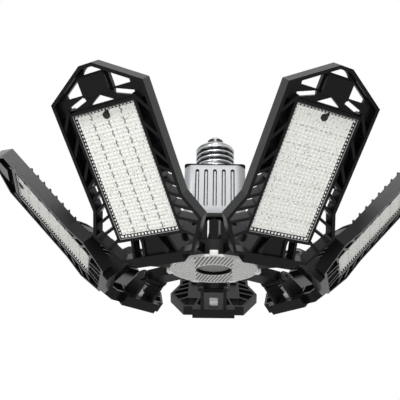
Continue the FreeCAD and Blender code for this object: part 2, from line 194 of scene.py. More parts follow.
def speckle_group():
    """Colour with small round specks and a faint haze of a second tone, scattered evenly."""
    group = bpy.data.node_groups.get("fine specks")
    if group:
        return group
    group = bpy.data.node_groups.new("fine specks", "ShaderNodeTree")
    for name in ("Clean", "Speck"):
        group.interface.new_socket(name=name, in_out="INPUT", socket_type="NodeSocketColor")
    for name, value in (("Scale", 400.0), ("Speck size", 0.15)):
        socket = group.interface.new_socket(name=name, in_out="INPUT", socket_type="NodeSocketFloat")
        socket.default_value = value
    group.interface.new_socket(name="Color", in_out="OUTPUT", socket_type="NodeSocketColor")
    nodes, links = group.nodes, group.links
    inputs = nodes.new("NodeGroupInput")
    outputs = nodes.new("NodeGroupOutput")
    place = nodes.new("ShaderNodeTexCoord")
    cells = nodes.new("ShaderNodeTexVoronoi")
    inside = nodes.new("ShaderNodeMath")
    inside.operation = "LESS_THAN"
    haze_scale, haze_gain, haze_offset = 1900.0, 1.5, -0.68
    grain = nodes.new("ShaderNodeTexNoise")
    grain.inputs["Scale"].default_value = haze_scale
    grain.inputs["Detail"].default_value = 1.0
    haze = nodes.new("ShaderNodeMath")
    haze.operation = "MULTIPLY_ADD"
    haze.use_clamp = True
    haze.inputs[1].default_value = haze_gain
    haze.inputs[2].default_value = haze_offset
    either = nodes.new("ShaderNodeMath")
    either.operation = "MAXIMUM"
    blend = nodes.new("ShaderNodeMix")
    blend.data_type = "RGBA"
    links.new(place.outputs["Object"], cells.inputs["Vector"])
    links.new(place.outputs["Object"], grain.inputs["Vector"])
    links.new(inputs.outputs["Scale"], cells.inputs["Scale"])
    links.new(cells.outputs["Distance"], inside.inputs[0])
    links.new(inputs.outputs["Speck size"], inside.inputs[1])
    links.new(grain.outputs["Fac"], haze.inputs[0])
    links.new(inside.outputs[0], either.inputs[0])
    links.new(haze.outputs[0], either.inputs[1])
    links.new(either.outputs[0], blend.inputs["Factor"])
    links.new(inputs.outputs["Clean"], blend.inputs["A"])
    links.new(inputs.outputs["Speck"], blend.inputs["B"])
    links.new(blend.outputs["Result"], outputs.inputs["Color"])
    return group


def finish_of(name, colour, roughness, metallic=0.0, specular=0.5, grain=0.0, grain_scale=900.0,
              painted_groove_shade=None, speck=None):
    """A Principled material; grain is the bump depth in metres, painted_groove_shade a second colour
    painted into grooves as shade, speck the colour of fine specks."""
    material = bpy.data.materials.get(name)
    if material:
        return material
    material = bpy.data.materials.new(name)
    material.use_nodes = True
    nodes, links = material.node_tree.nodes, material.node_tree.links
    shader = nodes["Principled BSDF"]
    shader.inputs["Base Color"].default_value = (*colour, 1.0)
    shader.inputs["Roughness"].default_value = roughness
    shader.inputs["Metallic"].default_value = metallic
    shader.inputs["Specular IOR Level"].default_value = specular
    if grain > 0:
        texture = nodes.new("ShaderNodeGroup")
        texture.node_tree = grain_group()
        texture.inputs["Scale"].default_value = grain_scale
        texture.inputs["Roughness"].default_value = roughness
        bump = nodes.new("ShaderNodeBump")
        bump.inputs["Distance"].default_value = grain
        links.new(texture.outputs["Height"], bump.inputs["Height"])
        links.new(bump.outputs["Normal"], shader.inputs["Normal"])
        links.new(texture.outputs["Roughness"], shader.inputs["Roughness"])
    # painted shade: the base colour goes towards the groove colour where the groove attribute is high
    if painted_groove_shade:
        shade = nodes.new("ShaderNodeGroup")
        shade.node_tree = groove_group()
        shade.inputs["Raised"].default_value = (*colour, 1.0)
        shade.inputs["Painted groove shade"].default_value = (*painted_groove_shade, 1.0)
        links.new(shade.outputs["Color"], shader.inputs["Base Color"])
    if speck:
        speck_scale, speck_size = 520.0, 0.2
        specks = nodes.new("ShaderNodeGroup")
        specks.node_tree = speckle_group()
        specks.inputs["Clean"].default_value = (*colour, 1.0)
        specks.inputs["Speck"].default_value = (*speck, 1.0)
        specks.inputs["Scale"].default_value = speck_scale
        specks.inputs["Speck size"].default_value = speck_size
        links.new(specks.outputs["Color"], shader.inputs["Base Color"])
    return material


def casting():
    return finish_of("black casting", colours().casting, 0.26, specular=0.24, grain=0.01 * MM)


def hub_black():
    return finish_of("hub black", (0.002, 0.002, 0.0022), 0.3, specular=0.12, grain=0.01 * MM)


def neck_black():
    return finish_of("glossy black", colours().neck, 0.05, specular=0.2)


def moulded_black():
    return finish_of("moulded black", (0.014, 0.014, 0.015), 0.5, specular=0.3, grain=0.01 * MM)


def field_white():
    return finish_of("dotted cover", colours().field, 0.3, speck=colours().speck)


def bead_white():
    return finish_of("cover beads", (0.90, 0.90, 0.88), 0.25)


def cover_edge():
    return finish_of("cover edge", (0.012, 0.012, 0.011), 0.4, specular=0.3)


def joint_and_prism_shade():
    return finish_of("cover joints and prism shade", (0.22, 0.22, 0.20), 0.4)


def lip_painted_highlight():
    return finish_of("cover lip painted highlight", (0.30, 0.30, 0.30), 0.3)


def board_white():
    return finish_of("white board", (0.86, 0.86, 0.82), 0.4)


def ring_clear():
    # the ring's prism grooves darken towards the groove tone as painted shade
    return finish_of("ring prisms", colours().ring, 0.28, painted_groove_shade=colours().ring_groove_shade)


def tab_pale():
    return finish_of("pale tab", (0.88, 0.88, 0.86), 0.3)


def silver():
    return finish_of("silver housing", colours().silver, 0.36, metallic=0.2, grain=0.003 * MM,
                     grain_scale=2600.0)


def lid_edge():
    return finish_of("lid edge", (0.01, 0.01, 0.011), 0.6, specular=0.1)


def flute_shadow():
    # dark tone on the flutes' sloping walls: painted shade
    return finish_of("flute walls painted shade", (0.05, 0.05, 0.052), 0.4, metallic=0.2)


def nickel():
    # the near-black second colour is painted shade in the thread's grooves
    return finish_of("nickel shell", colours().nickel, 0.27, metallic=1.0, painted_groove_shade=(0.02, 0.02, 0.022))


def contact_metal():
    return finish_of("contact metal", (0.74, 0.74, 0.72), 0.35, metallic=0.6)


def dark_steel():
    return finish_of("dark steel", (0.05, 0.05, 0.052), 0.35, metallic=0.7)


def cap_grey():
    return finish_of("cap grey", colours().cap, 0.45, grain=0.008 * MM)


def plug_white():
    return finish_of("plug white", (0.88, 0.88, 0.86), 0.35)


def insulator():
    return finish_of("dark insulator", (0.012, 0.012, 0.014), 0.12)


def board_green():
    return finish_of("green board", (0.03, 0.16, 0.06), 0.4)


def copper():
    return finish_of("wound copper", (0.55, 0.25, 0.12), 0.35, metallic=0.8)


# ------------------------------------------------------------------ shared helpers
def new_piece(name, shape, materials, body, node=None, sharp_over=35.0):
    """Make a lamp piece from a bmesh that is already in its place, and let it ride on its body."""
    mesh = bpy.data.meshes.new(name)
    shape.to_mesh(mesh)
    shape.free()
    for material in materials:
        mesh.materials.append(material)
    mesh.shade_smooth()
    mesh.set_sharp_from_angle(angle=math.radians(sharp_over))
    piece = bpy.data.objects.new(name, mesh)
    bpy.context.scene.collection.objects.link(piece)
    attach(piece, body)
    if node:
        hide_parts(node)
    return piece


def dress(node, material):
    """Give a solid of the frame its finish."""
    for slot in frame["nodes"][node].material_slots:
        slot.material = material


def panel_place(joint):
    """Where a flat panel plan stands at rest, from its hinge."""
    across = Vector(joint["axis"])
    outward = Vector((-across.y, across.x, 0))
    up = Vector((0, 0, 1))
    along = outward * math.cos(FOLD_AT_REST) + up * math.sin(FOLD_AT_REST)
    back = up * math.cos(FOLD_AT_REST) - outward * math.sin(FOLD_AT_REST)
    foot = Vector(joint["pos_m"]) - along * HINGE_OUT - back * HINGE_BACK
    place = Matrix((across, along, back)).transposed().to_4x4()
    place.translation = foot
    return place


def local_box(node, place):
    """Lowest and highest corner of a frame node in its panel's plan."""
    back = place.inverted()
    points = [back @ vertex.co for vertex in frame["nodes"][node].data.vertices]
    low = Vector([min(point[axis] for point in points) for axis in range(3)])
    high = Vector([max(point[axis] for point in points) for axis in range(3)])
    return low, high


def add_box(shape, low, high, material=0, round_by=0.0):
    """Add a box between two corners, with rounded edges where asked."""
    low, high = Vector(low), Vector(high)
    size = high - low
    place = Matrix.Translation((low + high) / 2) @ Matrix.Diagonal((*size, 1))
    made = bmesh.ops.create_cube(shape, size=1.0, matrix=place)
    faces = {face for vertex in made["verts"] for face in vertex.link_faces}
    for face in faces:
        face.material_index = material
    if round_by > 0:
        edges = {edge for vertex in made["verts"] for edge in vertex.link_edges}
        soften(shape, edges, round_by, segments=2)


def soften(shape, edges, width, segments):
    """Round a shape's edges."""
    bmesh.ops.bevel(shape, geom=list(edges), offset=width, segments=segments, profile=0.5,
                    affect="EDGES", material=-1)


def upright_edges(shape):
    return [edge for edge in shape.edges if abs(edge.verts[0].co.z - edge.verts[1].co.z) > 0.1 * MM]


def level_edges(shape, level):
    """Edges that lie flat at a level and have a face on each side."""
    return [edge for edge in shape.edges
            if all(abs(vertex.co.z - level) < 1e-6 for vertex in edge.verts) and len(edge.link_faces) == 2]


FACING_OUT = Matrix.Rotation(math.pi, 4, "X")     # turns a dot to stand on the lit face


def add_dot(shape, place, base, top, height, sides, material=0):
    """Add a low round dot that stands on its base circle."""
    made = bmesh.ops.create_cone(shape, cap_ends=True, cap_tris=False, segments=sides, radius1=base,
                                 radius2=top, depth=height, matrix=place)
    for vertex in made["verts"]:
        for face in vertex.link_faces:
            face.material_index = material


def turned(profile, steps):
    """Turn an open (radius, height) outline about Z into a smooth round shape."""
    shape = bmesh.new()
    row = [shape.verts.new((radius, 0, height)) for radius, height in profile]
    edges = [shape.edges.new(pair) for pair in zip(row, row[1:])]
    bmesh.ops.spin(shape, geom=row + edges, axis=(0, 0, 1), cent=(0, 0, 0), angle=2 * math.pi,
                   steps=steps, use_merge=True)
    bmesh.ops.remove_doubles(shape, verts=shape.verts, dist=1e-7)
    bmesh.ops.recalc_face_normals(shape, faces=shape.faces)
    return shape


# ------------------------------------------------------------------ panel pieces
# material slots of a cover
COVER_EDGE, COVER_BEADS, COVER_LINES_AND_SHADE, COVER_LIP_HIGHLIGHT = 1, 2, 3, 4


def dotted_cover(low, high, joints_along):
    """Lens of one panel in its plan: a recessed field of dots, a dark rim with white teeth and a pale lip
    whose grey top is a painted highlight along the tray wall's edge.
    """
    shape = bmesh.new()
    rim = LENS_RIM_WIDTH
    face_z = low.z + FIELD_DEPTH
    add_box(shape, (low.x, low.y, face_z), high)
    add_frame(shape, low, high, rim, low.z, face_z, COVER_EDGE)
    lip, lip_top, lip_foot = 0.16 * MM, low.z - 0.9 * MM, low.z - 0.45 * MM
    add_frame(shape, low, high, lip, lip_foot, low.z, COVER_EDGE)
    # the lip's pale upper band is a painted highlight standing in for the tray wall's bright edge
    add_frame(shape, low, high, lip, lip_top, lip_foot, COVER_LIP_HIGHLIGHT)
    left, right = low.x + rim, high.x - rim
    near, far = low.y + rim, high.y - rim
    add_field_dots(shape, left, right, near, far, face_z)
    if joints_along:
        add_lengthwise_dashes(shape, left, right, near, far, face_z)
    else:
        add_crosswise_dashes(shape, left, right, near, far, face_z)
    add_rim_teeth(shape, left, right, near, far, low.z, face_z)
    return shape


def add_frame(shape, low, high, width, z0, z1, material):
    """Four bars round a rectangle, from z0 to z1."""
    for x0, y0, x1, y1 in ((low.x, low.y, low.x + width, high.y), (high.x - width, low.y, high.x, high.y),
                           (low.x + width, low.y, high.x - width, low.y + width),
                           (low.x + width, high.y - width, high.x - width, high.y)):
        add_box(shape, (x0, y0, z0), (x1, y1, z1), material)


def add_field_dots(shape, left, right, near, far, face_z):
    """Rows and columns of low round dots over the field."""
    size = sizes()
    base_share, top_share, sides = 0.46, 0.24, 8
    across = (right - left) / size.dot_columns
    along = (far - near) / size.dot_rows
    for column in range(size.dot_columns):
        for row in range(size.dot_rows):
            centre = Vector((left + (column + 0.5) * across, near + (row + 0.5) * along,
                             face_z - size.dot_height / 2))
            add_dot(shape, Matrix.Translation(centre) @ FACING_OUT, across * base_share,
                    across * top_share, size.dot_height, sides)


def add_lengthwise_dashes(shape, left, right, near, far, face_z):
    """Three lengthwise lines of broken dark dashes between the strips of lamps, partly real lines and partly
    painted shade of the lengthwise prisms.
    """
    strips, pitch, start = 4, 5.1 * MM, 0.35
    chips, chip, chip_pitch = 3, 1.0 * MM, 1.1 * MM
    half, proud, sway = 0.3 * MM, 0.24 * MM, 0.2 * MM
    for line in range(1, strips):
        x = left + (right - left) * line / strips
        for step in range(int((far - near) / pitch)):
            for part in range(chips):
                y = near + (step + start) * pitch + part * chip_pitch
                offset = sway if (part + line) % 2 else -sway
                add_box(shape, (x + offset - half, y, face_z - proud),
                        (x + offset + half, y + chip, face_z), COVER_LINES_AND_SHADE)


def add_crosswise_dashes(shape, left, right, near, far, face_z):
    """Six faint crosswise lines of short dashes between the rows of lamps, partly real lines and partly
    painted shade of the crosswise prisms.
    """
    rows, pitch, half, proud = 7, 2.9 * MM, 0.11 * MM, 0.24 * MM
    shortest, spread = 0.9 * MM, 0.5 * MM
    for line in range(1, rows):
        y = near + (far - near) * line / rows
        for step in range(int((right - left) / pitch)):
            x = left + (step + 0.5) * pitch
            length = shortest + spread * ((step * 5 + line * 3) % 4) / 3
            add_box(shape, (x - length / 2, y - half, face_z - proud),
                    (x + length / 2, y + half, face_z), COVER_LINES_AND_SHADE)


def add_rim_teeth(shape, left, right, near, far, rim_z, face_z):
    """White teeth along the inside of the cover's rim, on a dark strip; longer at the foot's end."""
    pitch, tooth, reach, strip = 1.9 * MM, 0.95 * MM, 0.42 * MM, 0.7 * MM
    near_reach, near_strip = 1.0 * MM, 1.45 * MM
    root = reach * 0.4
    strip_z = face_z - 0.3 * MM
    for x0, y0, x1, y1 in ((left, near, left + strip, far), (right - strip, near, right, far),
                           (left, near, right, near + near_strip), (left, far - strip, right, far)):
        add_box(shape, (x0, y0, strip_z), (x1, y1, face_z), COVER_EDGE)
    top = rim_z + 0.02 * MM
    long_count = int((far - near) / pitch)
    cross_count = int((right - left) / pitch)
    for step in range(long_count):
        y = near + (step + 0.5) * (far - near) / long_count
        for x0, x1 in ((left - root, left + reach), (right - reach, right + root)):
            add_box(shape, (x0, y - tooth / 2, top), (x1, y + tooth / 2, face_z), COVER_BEADS)
    for step in range(cross_count):
        x = left + (step + 0.5) * (right - left) / cross_count
        for y0, y1 in ((near - root, near + near_reach), (far - reach, far + root)):
            add_box(shape, (x - tooth / 2, y0, top), (x + tooth / 2, y1, face_z), COVER_BEADS)


def screw_mark(low, high):
    """Small dark cross-head screw at the tip end of the lamp field."""
    shape = bmesh.new()
    from_tip, sides = 3.6 * MM, 24
    washer_base, washer_top, washer_height = 2.0 * MM, 1.8 * MM, 0.5 * MM
    head_base, head_top, head_height, head_middle = 1.5 * MM, 1.1 * MM, 0.7 * MM, 0.6 * MM
    cross_long, cross_short, cross_foot, cross_top = 0.9 * MM, 0.2 * MM, 0.9 * MM, 0.97 * MM
    lug_left, lug_right, lug_height = -1.9 * MM, -0.4 * MM, 0.6 * MM
    at_y = high.y - from_tip
    face_z = low.z + FIELD_DEPTH
    washer = Matrix.Translation((0, at_y, face_z - washer_height / 2)) @ FACING_OUT
    head = Matrix.Translation((0, at_y, face_z - head_middle)) @ FACING_OUT
    add_dot(shape, washer, washer_base, washer_top, washer_height, sides, 1)
    add_dot(shape, head, head_base, head_top, head_height, sides)
    # the cross on the head's top takes the near-black slot-1 colour: painted shade standing in for the cross
    # recess
    for half_x, half_y in ((cross_long, cross_short), (cross_short, cross_long)):
        add_box(shape, (-half_x, at_y - half_y, face_z - cross_top),
                (half_x, at_y + half_y, face_z - cross_foot), 1)
    add_box(shape, (lug_left, at_y + MM, face_z - lug_height),
            (lug_right, high.y - LENS_RIM_WIDTH, face_z), 1)
    return shape


def set_across(shape, low, high, place):
    """Lay a round shape along the hinge pin of a panel."""
    centre = Vector((0, (low.y + high.y) / 2, (low.z + high.z) / 2))
    turn = Matrix.Rotation(math.pi / 2, 4, "Y")
    bmesh.ops.transform(shape, matrix=place @ Matrix.Translation(centre) @ turn, verts=shape.verts)
    return shape


def pin_shape(low, high, place):
    """Shoulder screw: its shank, a rounded head and a socket in the head."""
    head_radius = (high.y - low.y) / 2
    shank_radius = 2.0 * MM
    key_radius, key_depth, edge = 1.5 * MM, 1.2 * MM, 0.5 * MM
    profile = [(0, low.x), (shank_radius, low.x), (shank_radius, EAR_OUTER_FACE),
               (head_radius, EAR_OUTER_FACE), (head_radius, high.x - edge),
               (head_radius - edge * 0.3, high.x - edge * 0.3), (head_radius - edge, high.x),
               (key_radius, high.x), (key_radius, high.x - key_depth), (0, high.x - key_depth)]
    shape = turned(profile, ROUND_STEPS)
    for face in shape.faces:
        middle = face.calc_center_median()
        # the socket floor gets the near-black slot-1 colour as painted shade in the recess
        if middle.z > high.x - key_depth - 1e-6 and middle.xy.length < key_radius * 0.99:
            face.material_index = 1
    return set_across(shape, low, high, place)


def boss_shape(low, high, place):
    """Round nut boss on the ear at the pin's far end."""
    radius, length, edge, sink = 3.3 * MM, 2.0 * MM, 0.4 * MM, 0.1 * MM
    face = low.x
    profile = [(0, face - length), (radius - edge, face - length), (radius, face - length + edge),
               (radius, face + sink), (0, face + sink)]
    return set_across(turned(profile, ROUND_STEPS), low, high, place)


def plug_shape(low, high, place):
    """White lead plug with a joint line round its middle."""
    shape = bmesh.new()
    add_box(shape, low, high, round_by=0.5 * MM)
    line, proud, inset = 0.12 * MM, 0.03 * MM, 0.8 * MM
    middle = (low.y + high.y) / 2
    add_box(shape, (low.x + inset, middle - line, high.z - proud),
            (high.x - inset, middle + line, high.z + proud), 1)
    bmesh.ops.transform(shape, matrix=place, verts=shape.verts)
    return shape


def plan_mesh(name, shape):
    """Keep a shape drawn in the panel plan, to be copied to each panel."""
    mesh = bpy.data.meshes.new(name)
    shape.to_mesh(mesh)
    shape.free()
    return mesh


def copied_to(place, plan):
    """Copy of a plan, set in its panel's place."""
    shape = bmesh.new()
    shape.from_mesh(plan)
    bmesh.ops.transform(shape, matrix=place, verts=shape.verts)
    return shape


class PanelOperator:
    """What the panel operators share."""
    bl_options = {"REGISTER", "UNDO"}

    def execute(self, context):
        first_lens = local_box("panel_lens_1", panel_place(PANEL_JOINTS[0]))
        plans = self.draw_plans(*first_lens)
        for number, joint in enumerate(PANEL_JOINTS, 1):
            self.make(number, joint, panel_place(joint), plans)
        for plan in plans:
            bpy.data.meshes.remove(plan)
        return {"FINISHED"}

    def draw_plans(self, low, high):
        """Meshes drawn once in the panel plan from the lens's box, for an operator that needs them."""
        return []


class GARAGE_OT_frames(PanelOperator, bpy.types.Operator):
    """Finish the seven cast panel frames and their lamp boards"""
    bl_idname = "garage_light.frames"
    bl_label = "Panel frames"

    def make(self, number, joint, place, plans):
        dress(f"panel_frame_{number}", casting())
        dress(f"led_board_{number}", board_white())


class GARAGE_OT_covers(PanelOperator, bpy.types.Operator):
    """Make the dotted covers of the panels, with their toothed edges"""
    bl_idname = "garage_light.covers"
    bl_label = "Panel covers"

    def draw_plans(self, low, high):
        return [plan_mesh("cover plan", dotted_cover(low, high, joints_along))
                for joints_along in (False, True)]

    def make(self, number, joint, place, plans):
        plan = plans[number in LENGTHWISE_PANELS]
        new_piece(f"panel_cover_{number}", copied_to(place, plan),
                  [field_white(), cover_edge(), bead_white(), joint_and_prism_shade(), lip_painted_highlight()],
                  joint["child"], f"panel_lens_{number}", sharp_over=60)


class GARAGE_OT_screws(PanelOperator, bpy.types.Operator):
    """Make the small screws of the lamp boards"""
    bl_idname = "garage_light.screws"
    bl_label = "Board screws"

    def draw_plans(self, low, high):
        return [plan_mesh("screw plan", screw_mark(low, high))]

    def make(self, number, joint, place, plans):
        new_piece(f"board_screw_{number}", copied_to(place, plans[0]), [dark_steel(), cover_edge()],
                  joint["child"])


class GARAGE_OT_pins(PanelOperator, bpy.types.Operator):
    """Make the hinge pins and the bosses at their far ends"""
    bl_idname = "garage_light.pins"
    bl_label = "Hinge pins"

    def make(self, number, joint, place, plans):
        node = f"hinge_pin_{number}"
        low, high = local_box(node, place)
        new_piece(f"shoulder_screw_{number}", pin_shape(low, high, place), [dark_steel(), cover_edge()],
                  joint["child"], node)
        new_piece(f"pin_boss_{number}", boss_shape(low, high, place), [casting()], joint["child"])


class GARAGE_OT_plugs(PanelOperator, bpy.types.Operator):
    """Make the white plugs of the panels' leads"""
    bl_idname = "garage_light.plugs"
    bl_label = "Lead plugs"

    def make(self, number, joint, place, plans):
        node = f"lead_plug_{number}"
        low, high = local_box(node, place)
        shape = plug_shape(low + PLUG_SHIFT[0], high + PLUG_SHIFT[1], place)
        new_piece(f"white_plug_{number}", shape, [plug_white(), tab_pale()], joint["child"],
                  node)


# ------------------------------------------------------------------ hub and stem pieces
def stripe(turns):
    """Height of a flat-topped stripe, once in each turn."""
    crest, slope = 1.5, 0.22
    return min(1.0, max(0.0, crest - abs(turns % 1.0 - 0.5) / slope))


def prism_height(x, y):
    """Share of the prism's depth at a plan point: slanted prisms in the middle, flecked ones at the sides."""
    pitch = sizes().prism_pitch
    middle_band, middle_slant, side_slant, side_pitch = 11.6 * MM, 0.27, 0.33, pitch * 0.8
    if abs(x) < middle_band:
        return stripe((x + middle_slant * y) / pitch)
    fleck_across, fleck_along, fleck_sway, least = 4600, 3300, 3, 0.15
    fleck = 0.5 + 0.5 * math.sin(x * fleck_across + fleck_sway * math.sin(y * fleck_along))
    return stripe((x + side_slant * y) / side_pitch) * (least + (1 - least) * fleck)


def ring_shape(outer, inner, low_z, high_z):
    """Ring lens with slanted prisms on its lower face."""
    rows, steps = 40, 504
    rim = 0.5 * MM
    radii = [inner + rim + (outer - inner - 2 * rim) * step / rows for step in range(rows + 1)]
    profile = [(inner, high_z), (inner, low_z)] + [(radius, low_z) for radius in radii]
    profile += [(outer, low_z), (outer, high_z), (inner, high_z)]
    shape = turned(profile, steps)
    groove = shape.verts.layers.float.new("groove")
    for vertex in shape.verts:
        radius = vertex.co.xy.length
        if vertex.co.z < low_z + 1e-6 and inner + rim * 0.9 < radius < outer - rim * 0.9:
            share = prism_height(vertex.co.x, vertex.co.y)
            vertex.co.z += share * sizes().prism_depth
            # groove weight for painted shade: the deepest prism grooves take the near-black tone
            vertex[groove] = share
    return shape


def snap_tabs(outer, low_z):
    """The seven snap tabs of the ring lens, one in each gap between two hub arms."""
    shape = bmesh.new()
    length, half, height, sink = 2.6 * MM, 2.5 * MM, 3.4 * MM, 0.6 * MM
    for number in range(len(PANEL_JOINTS)):
        start = len(shape.verts)
        add_box(shape, (-half, outer - sink, low_z), (half, outer + length, low_z + height),
                round_by=0.45 * MM)
        shape.verts.ensure_lookup_table()
        turn = Matrix.Rotation((number + 0.5) * SECTOR, 4, "Z")
        bmesh.ops.transform(shape, matrix=turn, verts=shape.verts[start:])
    return shape


class GARAGE_OT_hub(bpy.types.Operator):
    """Finish the hub, its ring board, its cap and the neck"""
    bl_idname = "garage_light.hub"
    bl_label = "Hub and neck"

    def execute(self, context):
        dress("hub_body", hub_black())
        dress("ring_led_board", board_white())
        dress("centre_cap", cap_grey())
        dress("neck", neck_black())
        return {"FINISHED"}


class GARAGE_OT_ring(bpy.types.Operator):
    """Make the ring lens with its prisms and snap tabs"""
    bl_idname = "garage_light.ring"
    bl_label = "Ring lens"

    def execute(self, context):
        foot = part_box("ring_lens")[0].z
        outer, inner, thick = 27.6 * MM, 11.3 * MM, 1.6 * MM
        new_piece("prism_ring", ring_shape(outer, inner, foot, foot + thick), [ring_clear()], "hub",
                  "ring_lens", sharp_over=20)
        new_piece("ring_tabs", snap_tabs(outer, foot), [tab_pale()], "hub")
        return {"FINISHED"}


def cut_away(block, cutters):
    """Cut the cutters' mesh out of a block's mesh and give the result as a new bmesh."""
    scratch = []
    for name, shape in (("block", block), ("cutters", cutters)):
        mesh = bpy.data.meshes.new(name)
        shape.to_mesh(mesh)
        shape.free()
        scratch.append(bpy.data.objects.new(name, mesh))
        bpy.context.scene.collection.objects.link(scratch[-1])
    cut = scratch[0].modifiers.new("cut", "BOOLEAN")
    cut.operation = "DIFFERENCE"
    cut.solver = "EXACT"
    cut.object = scratch[1]
    bpy.context.view_layer.update()
    depsgraph = bpy.context.evaluated_depsgraph_get()
    result = bmesh.new()
    result.from_mesh(scratch[0].evaluated_get(depsgraph).to_mesh())
    for made in scratch:
        mesh = made.data
        bpy.data.objects.remove(made)
        bpy.data.meshes.remove(mesh)
    return result


def round_cutter(radius, low_z, high_z):
    """Cutter for a round hole about Z."""
    return turned([(0, low_z), (radius, low_z), (radius, high_z), (0, high_z)], steps=64)


def flute_cutter(width, low, high, depth_from, depth_to):
    """Cutter for one flute: an upright slot with round ends and sloping walls."""
    shape = bmesh.new()
    floor_share = 0.45
    straight = high - low - width
    bmesh.ops.create_circle(shape, cap_ends=True, radius=width / 2, segments=24)
    faces = bmesh.ops.extrude_face_region(shape, geom=list(shape.faces))
    raised = [item for item in faces["geom"] if isinstance(item, bmesh.types.BMVert)]
    bmesh.ops.translate(shape, vec=(0, 0, depth_to - depth_from), verts=raised)
    bottom = [vertex for vertex in shape.verts if vertex.co.z < 1e-9]
    bmesh.ops.scale(shape, vec=(floor_share, floor_share, 1), verts=bottom)
    for vertex in shape.verts:
        if vertex.co.y > 1e-9:
            vertex.co.y += straight
    upright = Matrix.Rotation(math.pi / 2, 4, "X")
    bmesh.ops.transform(shape, matrix=Matrix.Translation((0, -depth_from, low + width / 2)) @ upright,
                        verts=shape.verts)
    bmesh.ops.recalc_face_normals(shape, faces=shape.faces)
    return shape


def flute_cutters(low, high):
    """Cutters for all the flutes of the housing, five on each of its four sides."""
    size = sizes()
    past_face = 0.1 * MM
    cutters = bmesh.new()
    for side in range(4):
        for flute in range(-2, 3):
            one = flute_cutter(size.flute_width, low.z + FLUTE_FOOT, low.z + FLUTE_FOOT + size.flute_length,
                               high.x - size.flute_depth, high.x + past_face)
            place = (Matrix.Rotation(side * math.pi / 2, 4, "Z")
                     @ Matrix.Translation((flute * size.flute_pitch, 0, 0)))
            bmesh.ops.transform(one, matrix=place, verts=one.verts)
            mesh = bpy.data.meshes.new("flute")
            one.to_mesh(mesh)
            one.free()
            cutters.from_mesh(mesh)
            bpy.data.meshes.remove(mesh)
    return cutters


def housing_block(low, high):
    """Square block with rounded upright corners and softened upper and lower edges."""
    shape = bmesh.new()
    corner, softened = 6.0 * MM, 0.4 * MM
    add_box(shape, low, high)
    soften(shape, upright_edges(shape), corner, segments=10)
    for level in (high.z, low.z):
        soften(shape, level_edges(shape, level), softened, segments=4)
    bmesh.ops.recalc_face_normals(shape, faces=shape.faces)
    return shape


def housing_shape(low, high):
    """Fluted hollow housing, open at its foot and round its top's middle; slot 1 is for the flutes' walls,
    darkened as painted shade.
    """
    size = sizes()
    opening, lip, wall, roof, collar_neck = 13.4 * MM, 1.2 * MM, 0.6 * MM, 1.6 * MM, 11.4 * MM
    cavity = high.x - size.flute_depth - wall
    cutters = flute_cutters(low, high)
    add_box(cutters, (-opening, -opening, low.z - MM), (opening, opening, low.z + 2 * MM))
    inside = bmesh.new()
    add_box(inside, (-cavity, -cavity, low.z + lip), (cavity, cavity, high.z - roof))
    block = cut_away(cut_away(housing_block(low, high), cutters), inside)
    block = cut_away(block, round_cutter(collar_neck, high.z - 2 * roof, high.z + roof))
    deepest, face_side = high.x - size.flute_depth * 1.1, high.x - 0.02 * MM
    flute_top, facing_up, facing_out = low.z + FLUTE_FOOT + size.flute_length, 0.98, 0.95
    for face in block.faces:
        middle = face.calc_center_median()
        deep, side = sorted((abs(middle.x), abs(middle.y)), reverse=True)
        in_flute = deepest < deep < face_side and side < 2.5 * size.flute_pitch
        if in_flute and middle.z < flute_top and face.normal.z < facing_up:
            straight_out = max(abs(face.normal.x), abs(face.normal.y)) > facing_out
            face.material_index = 0 if straight_out else 1
    return block


def lid_shape(low, high):
    """Thin square lid on the housing, open round the collar; slot 1 is for its dark edge."""
    shape = bmesh.new()
    thick = sizes().lid_thickness
    sink, corner, softened, collar, facing_up = 0.1 * MM, 2.6 * MM, 0.2 * MM, 14.5 * MM, 0.9
    add_box(shape, (low.x, low.y, high.z - sink), (high.x, high.y, high.z + thick))
    soften(shape, upright_edges(shape), corner, segments=5)
    soften(shape, level_edges(shape, high.z + thick), softened, segments=2)
    bmesh.ops.recalc_face_normals(shape, faces=shape.faces)
    for face in shape.faces:
        face.material_index = 0 if face.normal.z > facing_up else 1
    return cut_away(shape, round_cutter(collar, high.z - thick, high.z + 2 * thick))


class GARAGE_OT_housing(bpy.types.Operator):
    """Make the fluted silver housing, and finish what closes and fills it"""
    bl_idname = "garage_light.housing"
    bl_label = "Driver housing"

    def execute(self, context):
        low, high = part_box("driver_housing")
        new_piece("fluted_housing", housing_shape(low, high), [silver(), flute_shadow()], "hub",
                  "driver_housing", sharp_over=25)
        new_piece("housing_lid", lid_shape(low, high), [silver(), lid_edge()], "hub")
        dress("housing_foot_cover", moulded_black())
        dress("driver_board", board_green())
        dress("driver_capacitor", moulded_black())
        dress("driver_choke", copper())
        return {"FINISHED"}


